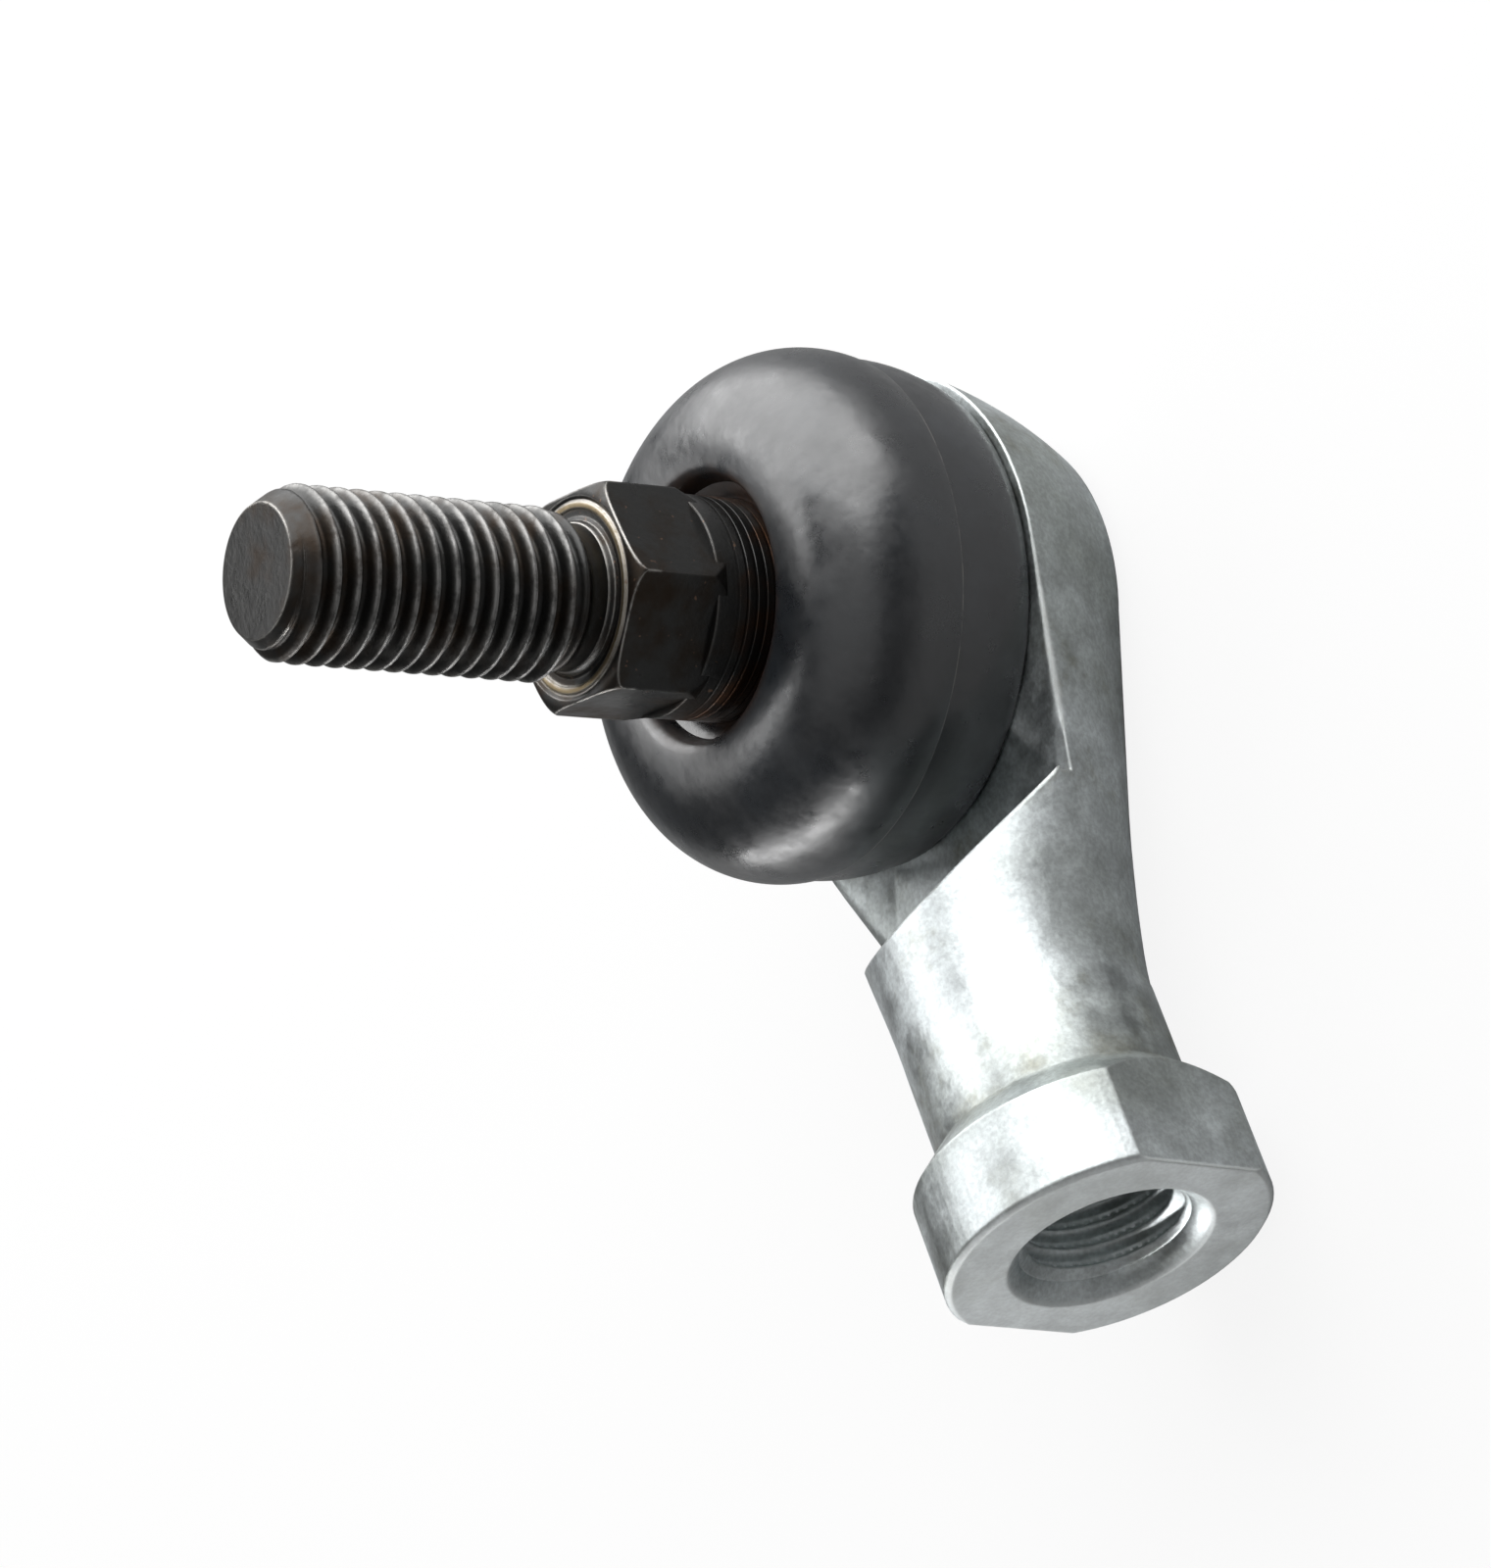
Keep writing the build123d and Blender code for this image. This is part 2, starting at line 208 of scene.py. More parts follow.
class Shader(Graph):
    """A material's tree, with the coordinates and textures that the finishes share."""

    def __init__(self, name: str) -> None:
        """Starts an empty material.

        Args:
            name: The material's name.
        """
        self.material = bpy.data.materials.new(name)
        self.material.use_nodes = True
        super().__init__(self.material.node_tree)
        self.tree.nodes.clear()
        self.place = self.add("ShaderNodeTexCoord").outputs["Object"]
        parts = self.add("ShaderNodeSeparateXYZ", {0: self.place})
        self.x, self.y, self.z = (parts.outputs[index] for index in range(3))

    def noise(self, grain: Grain) -> Socket:
        """Returns a noise around 0.5 on the piece's own coordinates."""
        inputs = {"Scale": grain.scale, "Detail": grain.detail, "Roughness": grain.roughness}
        return self.add("ShaderNodeTexNoise", {"Vector": self.place} | inputs).outputs["Fac"]

    def radius(self) -> Socket:
        """Returns the distance from the stud axis in millimetres."""
        squares = [self.times(side, side) for side in (self.x, self.y)]
        return self.math("DIVIDE", self.math("SQRT", self.math("ADD", *squares)), MM)

    def height(self, centre_z: float) -> Socket:
        """Returns the height in millimetres above the ball centre, given in metres."""
        return self.math("DIVIDE", self.math("SUBTRACT", self.z, centre_z), MM)

    def blend(self, factor: object, first: object, second: object) -> Socket:
        """Mixes two colours.

        Args:
            factor: Share of the second colour.
            first: Colour at 0.
            second: Colour at 1.

        Returns:
            The mixed colour.
        """
        node = self.add("ShaderNodeMix", data_type="RGBA")
        self.link(factor, node.inputs[0])
        self.link(first, node.inputs[6])
        self.link(second, node.inputs[7])
        return node.outputs[2]

    def rounded(self, radius: object) -> Socket:
        """Rounds the look of sharp edges.

        Args:
            radius: Radius of the rounding in metres, a number or a socket.

        Returns:
            The rounded normal.
        """
        return self.add("ShaderNodeBevel", {"Radius": radius}, samples=6).outputs["Normal"]

    def edge_strip(self, normal: Socket, low: float = 0.02, high: float = 0.10) -> Socket:
        """Marks the narrow strips beside sharp edges.

        Args:
            normal: The rounded normal.
            low: Turn of the normal, as 1 minus the cosine, where wear starts.
            high: Turn where it is complete.

        Returns:
            The mask's socket.
        """
        flat = self.add("ShaderNodeNewGeometry").outputs["Normal"]
        match = self.add("ShaderNodeVectorMath", {0: flat, 1: normal}, operation="DOT_PRODUCT")
        return self.ramp(self.math("SUBTRACT", 1.0, match.outputs["Value"]), low, high)

    def bump(self, *layers: tuple[object, float], base: Socket | None = None) -> Socket:
        """Stacks bump layers into one normal.

        Args:
            *layers: Pairs of a height between 0 and 1 and its depth in metres.
            base: Normal that the layers start from, where it isn't the surface's own.

        Returns:
            The bumped normal.
        """
        normal = base
        for height, depth in layers:
            inputs = {"Height": height, "Distance": depth, "Strength": 1.0}
            if normal is not None:
                inputs["Normal"] = normal
            normal = self.add("ShaderNodeBump", inputs).outputs["Normal"]
        return normal

    def shade(self, colour: object, factor: object) -> Socket:
        """Makes a colour lighter or darker.

        Args:
            colour: The colour.
            factor: What it is multiplied by.

        Returns:
            The new colour.
        """
        node = self.add("ShaderNodeVectorMath", {0: colour}, operation="SCALE")
        self.link(factor, node.inputs["Scale"])
        return node.outputs[0]

    def surface(self, **inputs: object) -> Material:
        """Closes the tree with a Principled surface.

        Args:
            **inputs: Values or sockets by input name, with underscores for spaces.

        Returns:
            The finished material.
        """
        named = {key.replace("_", " "): value for key, value in inputs.items()}
        node = self.add("ShaderNodeBsdfPrincipled", named)
        output = self.add("ShaderNodeOutputMaterial")
        self.tree.links.new(node.outputs[0], output.inputs["Surface"])
        return self.material


# --- Finishes -----------------------------------------------------------------------------------


@dataclass(frozen=True)
class ZincPlate:
    """Bluish zinc plating over a blasted forging and its turned faces.

    Distances run along the rod from the stud axis. The web's edges are the roundest.
    """

    colour: Colour = (0.78, 0.83, 0.84)
    dull: Colour = (0.54, 0.58, 0.565)
    stain: Colour = (0.36, 0.36, 0.30)
    # Pale edge colour: partly edge wear, partly a painted highlight on the rounded edges.
    wear_and_highlight: Colour = (0.90, 0.93, 0.92)
    # Lighter colour of the end face: painted light that the end face catches.
    lit_end_face: Colour = (0.92, 0.95, 0.95)
    stain_share: float = 0.75
    wear_and_highlight_share: float = 0.7
    lit_end_face_share: float = 0.5
    roughness: float = 0.42
    end_face_roughness: float = 0.14
    cloud: Grain = Grain(95.0, 4.0, 0.6)
    blotch: Grain = Grain(190.0, 5.0, 0.7)
    mottle: Grain = Grain(420.0, 4.0, 0.65)
    pits: Grain = Grain(800.0, 2.0, 0.5)
    grain: Grain = Grain(3400.0, 3.0, 0.6)
    edge: float = 0.3
    web_edge: float = 0.85
    web_start: float = 2.0
    web_end: float = 14.0
    turned_start: float = 34.5
    turned_share: float = 0.35
    fade: float = 1.5
    face_start: float = 42.7
    face_end: float = 42.9

    def material(self) -> Material:
        """Builds the material.

        Returns:
            The material.
        """
        shader = Shader("zinc_plate")
        along = shader.math("DIVIDE", shader.x, MM)
        cloud, mottle, grain = map(shader.noise, (self.cloud, self.mottle, self.grain))
        forged = shader.ramp(
            along, self.turned_start, self.turned_start + self.fade, 1.0, self.turned_share
        )
        # Mask of the rod's end face, which is painted lighter.
        lit_end_face = shader.ramp(along, self.face_start, self.face_end)
        radius = shader.ramp(
            along, self.web_start, self.web_end - self.web_start, self.edge * MM, self.web_edge * MM
        )
        past_web = shader.ramp(
            along, self.web_end, self.web_end + self.fade, 1.0, self.edge / self.web_edge
        )
        smooth = shader.rounded(shader.times(radius, past_web))
        colour = shader.blend(shader.ramp(cloud, 0.38, 0.68), self.colour, self.dull)
        stained = shader.times(shader.ramp(shader.noise(self.blotch), 0.52, 0.72), forged)
        stained = shader.times(stained, self.stain_share)
        colour = shader.blend(stained, colour, self.stain)
        colour = shader.shade(colour, shader.ramp(mottle, *NOISE, 0.86, 1.09))
        colour = shader.shade(colour, shader.ramp(grain, 0.32, 0.70, 0.87, 1.09))
        # Painted light: the end face is made lighter and less metallic.
        lit_end_mix = shader.times(lit_end_face, self.lit_end_face_share)
        colour = shader.blend(lit_end_mix, colour, self.lit_end_face)
        # Edge strips painted pale, partly wear and partly painted highlight; the web's wider rounding
        # widens the painted highlight.
        edge = shader.times(shader.edge_strip(smooth), self.wear_and_highlight_share)
        colour = shader.blend(edge, colour, self.wear_and_highlight)
        rough = shader.ramp(mottle, *NOISE, self.roughness - 0.06, self.roughness + 0.10)
        rough = shader.math("ADD", rough, shader.times(lit_end_face, self.end_face_roughness))
        pits = shader.times(shader.noise(self.pits), forged)
        normal = shader.bump((cloud, 0.10 * MM), (pits, 0.040 * MM), (grain, 0.011 * MM), base=smooth)
        metal = shader.math("SUBTRACT", 1.0, lit_end_mix)
        return shader.surface(Base_Color=colour, Metallic=metal, Roughness=rough, Normal=normal)


@dataclass(frozen=True)
class BlackOxide:
    """Blackened steel with pale crests and edges, partly wear and partly painted highlight, oily grime
    and ring grooves on the collar.
    """

    centre_z: float
    colour: Colour = (0.052, 0.052, 0.051)
    # Pale colour of thread crests: partly wear, partly painted highlight.
    wear_and_highlight: Colour = (0.42, 0.415, 0.405)
    grime: Colour = (0.040, 0.029, 0.021)
    brass: Colour = (0.30, 0.235, 0.14)
    # Pale colour of the hexagon's front edges and the tip's edge: partly wear, partly painted
    # highlight.
    bright: Colour = (0.62, 0.60, 0.57)
    rust: Colour = (0.085, 0.038, 0.018)
    speck: Colour = (0.26, 0.16, 0.11)
    crest_share: float = 0.75
    rust_share: float = 0.8
    bright_share: float = 0.9
    side_share: float = 0.12
    speck_share: float = 0.6
    roughness: float = 0.33
    metallic: float = 0.9
    cloud: Grain = Grain(260.0, 4.0, 0.6)
    nicks: Grain = Grain(900.0, 4.0, 0.65)
    specks: Grain = Grain(2600.0, 1.0, 0.4)
    grain: Grain = Grain(3200.0, 2.0, 0.5)
    crest_radius: float = 4.96
    flank_radius: float = 4.44
    gilt_radius: float = 5.28
    edge: float = 0.24
    groove_pitch: float = 0.62
    collar_top: float = 14.2
    collar_fade: float = 1.5
    front_start: float = 19.1
    front_end: float = 19.5
    gilt_height: float = 20.7
    thread_start: float = 21.5
    thread_end: float = 22.5
    tip: float = 40.3

    def material(self) -> Material:
        """Builds the material.

        Returns:
            The material.
        """
        shader = Shader("black_oxide")
        height = shader.height(self.centre_z)
        threaded = shader.ramp(height, self.thread_start, self.thread_end)
        plain = shader.math("SUBTRACT", 1.0, threaded)
        low = shader.ramp(height, self.collar_top - self.collar_fade, self.collar_top, 1.0, 0.0)
        cloud, nicks, grain = map(shader.noise, (self.cloud, self.nicks, self.grain))
        smooth = shader.rounded(self.edge * MM)
        colour = shader.blend(shader.ramp(cloud, 0.42, 0.68), self.colour, self.grime)
        # Thread crests painted pale: partly worn crests, partly painted highlight.
        crest = shader.ramp(shader.radius(), self.flank_radius, self.crest_radius)
        crest = shader.times(shader.times(crest, crest), threaded)
        crest = shader.times(crest, shader.ramp(nicks, 0.34, 0.62, 0.25, 0.9))
        colour = shader.blend(shader.times(crest, self.crest_share), colour, self.wear_and_highlight)
        rusty = shader.times(shader.ramp(cloud, 0.40, 0.62), low)
        colour = shader.blend(shader.times(rusty, self.rust_share), colour, self.rust)
        gilt = shader.times(
            shader.band(shader.radius(), self.gilt_radius, 0.08, 0.30),
            shader.band(height, self.gilt_height, 0.25, 0.3),
        )
        colour = shader.blend(gilt, colour, self.brass)
        front = shader.ramp(height, self.front_start, self.front_end, self.side_share, 1.0)
        front = shader.times(front, plain)
        tip = shader.ramp(height, self.tip, self.tip + 0.2)
        # Edge strips of the hexagon's front and the tip painted pale: partly wear, partly painted
        # highlight.
        edge = shader.times(shader.edge_strip(smooth), self.bright_share)
        edge = shader.times(edge, shader.math("ADD", front, tip, clamp=True))
        edge = shader.times(edge, shader.ramp(nicks, 0.30, 0.50, 0.25, 1.0))
        colour = shader.blend(edge, colour, self.bright)
        glint = shader.ramp(shader.noise(self.specks), 0.72, 0.80, 0.0, self.speck_share)
        colour = shader.blend(shader.times(glint, plain), colour, self.speck)
        rough = shader.ramp(cloud, 0.3, 0.75, self.roughness - 0.06, self.roughness + 0.14)
        wave = shader.math("SINE", shader.times(height, math.tau / self.groove_pitch))
        marks = shader.times(shader.ramp(wave, 0.4, 1.0, 1.0, 0.0), low)
        normal = shader.bump((marks, 0.05 * MM), (nicks, 0.045 * MM), (grain, 0.008 * MM), base=smooth)
        return shader.surface(Base_Color=colour, Metallic=self.metallic, Roughness=rough, Normal=normal)


@dataclass(frozen=True)
class BootRubber:
    """Moulded rubber with a satin skin, scuffed and brown with grease around its mouth."""

    centre_z: float
    colour: Colour = (0.011, 0.013, 0.016)
    bloom: Colour = (0.027, 0.032, 0.038)
    grease: Colour = (0.030, 0.012, 0.005)
    seam: Colour = (0.16, 0.15, 0.14)
    roughness: float = 0.30
    sheen_index: float = 2.0
    cloud: Grain = Grain(120.0, 4.0, 0.6)
    scuff: Grain = Grain(380.0, 5.0, 0.7)
    grain: Grain = Grain(2200.0, 2.0, 0.5)
    grease_start: float = 7.4
    grease_end: float = 8.8
    parting_height: float = 4.7

    def material(self) -> Material:
        """Builds the material.

        Returns:
            The material.
        """
        shader = Shader("boot_rubber")
        cloud, scuff, grain = map(shader.noise, (self.cloud, self.scuff, self.grain))
        colour = shader.blend(shader.ramp(cloud, 0.4, 0.75), self.colour, self.bloom)
        greasy = shader.ramp(shader.radius(), self.grease_start, self.grease_end, 1.0, 0.0)
        greasy = shader.times(greasy, shader.ramp(scuff, 0.35, 0.6))
        colour = shader.blend(greasy, colour, self.grease)
        seam = shader.band(shader.height(self.centre_z), self.parting_height, 0.05, 0.07)
        seam = shader.times(seam, shader.ramp(scuff, 0.42, 0.6, 0.1, 0.8))
        colour = shader.blend(seam, colour, self.seam)
        rough = shader.ramp(scuff, *NOISE, self.roughness - 0.05, self.roughness + 0.12)
        normal = shader.bump((cloud, 0.14 * MM), (scuff, 0.014 * MM), (grain, 0.004 * MM))
        return shader.surface(Base_Color=colour, Roughness=rough, IOR=self.sheen_index, Normal=normal)


@dataclass(frozen=True)
class PlainMetal:
    """Drawn or turned bright steel."""

    name: str
    colour: Colour
    roughness: float
    grain: Grain = Grain(1800.0, 2.0, 0.5)

    def material(self) -> Material:
        """Builds the material.

        Returns:
            The material.
        """
        shader = Shader(self.name)
        grain = shader.noise(self.grain)
        return shader.surface(
            Base_Color=shader.shade(self.colour, shader.ramp(grain, *NOISE, 0.85, 1.1)),
            Metallic=1.0,
            Roughness=shader.ramp(grain, *NOISE, self.roughness - 0.04, self.roughness + 0.06),
            Normal=shader.bump((grain, 0.005 * MM)),
        )


@dataclass(frozen=True)
class SeatPlastic:
    """Natural acetal of the ball seat."""

    colour: Colour = (0.78, 0.76, 0.70)
    shaded: float = 0.85
    cloud: Grain = Grain(300.0, 3.0, 0.5)

    def material(self) -> Material:
        """Builds the material.

        Returns:
            The material.
        """
        shader = Shader("seat_plastic")
        cloud = shader.noise(self.cloud)
        dark = tuple(self.shaded * part for part in self.colour)
        return shader.surface(
            Base_Color=shader.blend(cloud, self.colour, dark),
            Roughness=shader.ramp(cloud, *NOISE, 0.38, 0.5),
            Normal=shader.bump((cloud, 0.01 * MM)),
        )


# --- Meshes -------------------------------------------------------------------------------------


def arc(centre: Point, radius: float, start: float, end: float, steps: int) -> list[Point]:
    """Gives points along an arc in a half plane.

    Args:
        centre: The arc's centre as distance from the axis and height.
        radius: The arc's radius.
        start: First angle in degrees, from the outward direction towards the height.
        end: Last angle in degrees.
        steps: Number of chords.

    Returns:
        The points, first and last included.
    """
    angles = [math.radians(start + (end - start) * i / steps) for i in range(steps + 1)]
    return [(centre[0] + radius * math.cos(a), centre[1] + radius * math.sin(a)) for a in angles]


def finish_mesh(name: str, shape: bmesh.types.BMesh, crease: float = 40.0) -> Piece:
    """Turns a bmesh into a smooth-shaded object at the origin.

    Args:
        name: The piece's name.
        shape: The finished bmesh, which is freed.
        crease: Edges sharper than this many degrees stay sharp.

    Returns:
        The new object.
    """
    bmesh.ops.recalc_face_normals(shape, faces=shape.faces)
    mesh = bpy.data.meshes.new(name)
    shape.to_mesh(mesh)
    shape.free()
    return finish_object(name, mesh, crease)


def finish_object(name: str, mesh: bpy.types.Mesh, crease: float = 40.0) -> Piece:
    """Places a mesh in the scene, smooth but for its sharp edges.

    Args:
        name: The piece's name.
        mesh: Its mesh.
        crease: Edges sharper than this many degrees stay sharp.

    Returns:
        The new object.
    """
    mesh.shade_smooth()
    mesh.set_sharp_from_angle(angle=math.radians(crease))
    piece = bpy.data.objects.new(name, mesh)
    bpy.context.scene.collection.objects.link(piece)
    return piece


def lathe(profile: Sequence[Point], base_z: float, columns: int) -> bmesh.types.BMesh:
    """Spins a closed outline, in millimetres, around the stud axis.

    Args:
        profile: Distances from the axis and heights; a point on the axis becomes a pole.
        base_z: Height in metres that the profile's heights are counted from.
        columns: Steps around the axis.

    Returns:
        A closed shape, in metres.
    """
    shape = bmesh.new()
    rings: list[list[bmesh.types.BMVert]] = []
    for distance, height in profile:
        z = base_z + height * MM
        if distance < 1e-6:
            rings.append([shape.verts.new((0.0, 0.0, z))])
            continue
        ring = []
        for column in range(columns):
            angle = math.tau * column / columns
            spot = (distance * MM * math.cos(angle), distance * MM * math.sin(angle), z)
            ring.append(shape.verts.new(spot))
        rings.append(ring)
    closed = len(rings[0]) > 1
    pairs = list(zip(rings, rings[1:]))
    if closed:
        pairs.append((rings[-1], rings[0]))
    for lower, upper in pairs:
        for column in range(columns):
            beside = (column + 1) % columns
            if len(lower) == 1:
                shape.faces.new((lower[0], upper[column], upper[beside]))
            elif len(upper) == 1:
                shape.faces.new((lower[column], lower[beside], upper[0]))
            else:
                shape.faces.new((lower[column], lower[beside], upper[beside], upper[column]))
    return shape


class GeometryTree(Graph):
    """A geometry tree with named inputs, run once on an empty mesh and made plain."""

    def __init__(self, name: str) -> None:
        """Starts an empty tree.

        Args:
            name: The tree's name.
        """
        super().__init__(bpy.data.node_groups.new(name, "GeometryNodeTree"))
        self.tree.interface.new_socket("Geometry", in_out="OUTPUT", socket_type="NodeSocketGeometry")
        self.identifiers: dict[str, str] = {}
        self.start = self.tree.nodes.new("NodeGroupInput")

    def number(self, name: str) -> Socket:
        """Adds a named decimal input and gives its socket."""
        return self._input(name, "NodeSocketFloat")

    def whole(self, name: str) -> Socket:
        """Adds a named whole-number input and gives its socket."""
        return self._input(name, "NodeSocketInt")

    def _input(self, name: str, kind: str) -> Socket:
        """Adds an input.

        Args:
            name: The input's name.
            kind: Its socket type.

        Returns:
            The input's socket inside the tree.
        """
        item = self.tree.interface.new_socket(name, in_out="INPUT", socket_type=kind)
        self.identifiers[name] = item.identifier
        return self.start.outputs[name]

    def close(self, geometry: Socket, material: Material) -> None:
        """Ends the tree.

        Args:
            geometry: The finished geometry.
            material: The finish that it gets.
        """
        real = self.add("GeometryNodeRealizeInstances", {0: geometry})
        dressed = self.add("GeometryNodeSetMaterial", {0: real.outputs[0]})
        dressed.inputs["Material"].default_value = material
        end = self.tree.nodes.new("NodeGroupOutput")
        self.tree.links.new(dressed.outputs[0], end.inputs[0])

    def make(self, name: str, values: dict[str, float], crease: float) -> Piece:
        """Runs the tree and keeps its result as a plain mesh.

        Args:
            name: The piece's name.
            values: Input values by name.
            crease: Edges sharper than this many degrees stay sharp.

        Returns:
            The piece.
        """
        holder = bpy.data.objects.new(name + "_source", bpy.data.meshes.new(name + "_source"))
        bpy.context.scene.collection.objects.link(holder)
        modifier = holder.modifiers.new("shape", "NODES")
        modifier.node_group = self.tree
        for key, value in values.items():
            modifier[self.identifiers[key]] = value
        bpy.context.view_layer.update()
        evaluated = holder.evaluated_get(bpy.context.evaluated_depsgraph_get())
        mesh = bpy.data.meshes.new_from_object(evaluated)
        holder.modifiers.remove(modifier)
        bpy.data.objects.remove(holder)
        mesh.name = name
        return finish_object(name, mesh, crease)


class ThreadTree(GeometryTree):
    """Builds a helical thread as one closed skin around +Z.

    Rows of a grid run along the axis and columns around it. The first and last rows lie at the
    backing radius, which is 0 for a solid core, so that the skin closes. A tooth is a straight
    flank mixed with a rounded one, both given as shares of half a pitch from the crest.
    """

    SIZES = ("root", "crest", "backing", "pitch", "start", "end", "run_out", "fade", "lead")
    FLANK = (0.10, 0.80)
    ROUNDED = (0.06, 0.86)
    FLANK_SHARE = 0.55

    def __init__(self, material: Material) -> None:
        """Builds the tree.

        Args:
            material: The finish of the thread.
        """
        super().__init__("screw_thread")
        sizes = [self.number(name) for name in self.SIZES]
        root, crest, backing, pitch, low, high, runout, fade, lead_radius = sizes
        lead_slope = self.number("slope")
        rows, columns = self.whole("rows"), self.whole("columns")
        grid = self.add("GeometryNodeMeshGrid", {0: 1.0, 1: 1.0, 2: columns, 3: rows})
        place = self.add("GeometryNodeInputPosition").outputs[0]
        spot = self.add("ShaderNodeSeparateXYZ", {0: place})
        turn = self.math("ADD", spot.outputs[0], 0.5)
        last_row = self.math("SUBTRACT", rows, 1.0)
        row = self.times(self.math("ADD", spot.outputs[1], 0.5), last_row)
        inner = self.math(
            "DIVIDE", self.math("SUBTRACT", row, 1.0), self.math("SUBTRACT", rows, 3.0), clamp=True
        )
        height = self.math("ADD", low, self.times(inner, self.math("SUBTRACT", high, low)))
        phase = self.math("FRACT", self.math("SUBTRACT", self.math("DIVIDE", height, pitch), turn))
        away = self.math("ABSOLUTE", self.math("SUBTRACT", self.times(phase, 2.0), 1.0))
        near, far = self.FLANK
        flank = self.add(
            "ShaderNodeMapRange",
            {"Value": away, "From Min": near, "From Max": far, "To Min": 1.0, "To Max": 0.0},
        ).outputs["Result"]
        rounded = self.ramp(away, *self.ROUNDED, 1.0, 0.0)
        tooth = self.math(
            "ADD",
            self.times(flank, self.FLANK_SHARE),
            self.times(rounded, 1.0 - self.FLANK_SHARE),
        )
        grown = self.math("DIVIDE", self.math("SUBTRACT", height, runout), fade, clamp=True)
        tooth = self.times(tooth, grown)
        depth = self.math("SUBTRACT", crest, root)
        side = self.math("SIGN", depth)
        radius = self.math("ADD", root, self.times(tooth, depth))
        cone = self.math(
            "ADD",
            self.times(side, lead_radius),
            self.times(lead_slope, self.math("SUBTRACT", high, height)),
        )
        radius = self.times(side, self.math("MINIMUM", self.times(side, radius), cone))
        ends = self.math("MINIMUM", row, self.math("SUBTRACT", last_row, row))
        within = self.math("GREATER_THAN", ends, 0.5)
        radius = self.math(
            "ADD",
            self.times(radius, within),
            self.times(backing, self.math("SUBTRACT", 1.0, within)),
        )
        angle = self.times(turn, math.tau)
        where = self.add(
            "ShaderNodeCombineXYZ",
            {
                0: self.times(radius, self.math("COSINE", angle)),
                1: self.times(radius, self.math("SINE", angle)),
                2: height,
            },
        )
        moved = self.add(
            "GeometryNodeSetPosition", {"Geometry": grid.outputs[0], "Position": where.outputs[0]}
        )
        merged = self.add(
            "GeometryNodeMergeByDistance", {"Geometry": moved.outputs[0], "Distance": 1e-7}
        )
        self.close(merged.outputs[0], material)

    def cut(self, name: str, sizes: Sequence[float], slope: float, grid: tuple[int, int]) -> Piece:
        """Runs the tree for one thread.

        Args:
            name: The piece's name.
            sizes: A length in millimetres for each of SIZES.
            slope: How fast the lead's cone narrows towards the end.
            grid: Rows along the axis and columns around it.

        Returns:
            The thread.
        """
        values = {key: value * MM for key, value in zip(self.SIZES, sizes)}
        values |= {"slope": slope, "rows": grid[0], "columns": grid[1]}
        return self.make(name, values, 50.0)


# --- Sub-assemblies -----------------------------------------------------------------------------


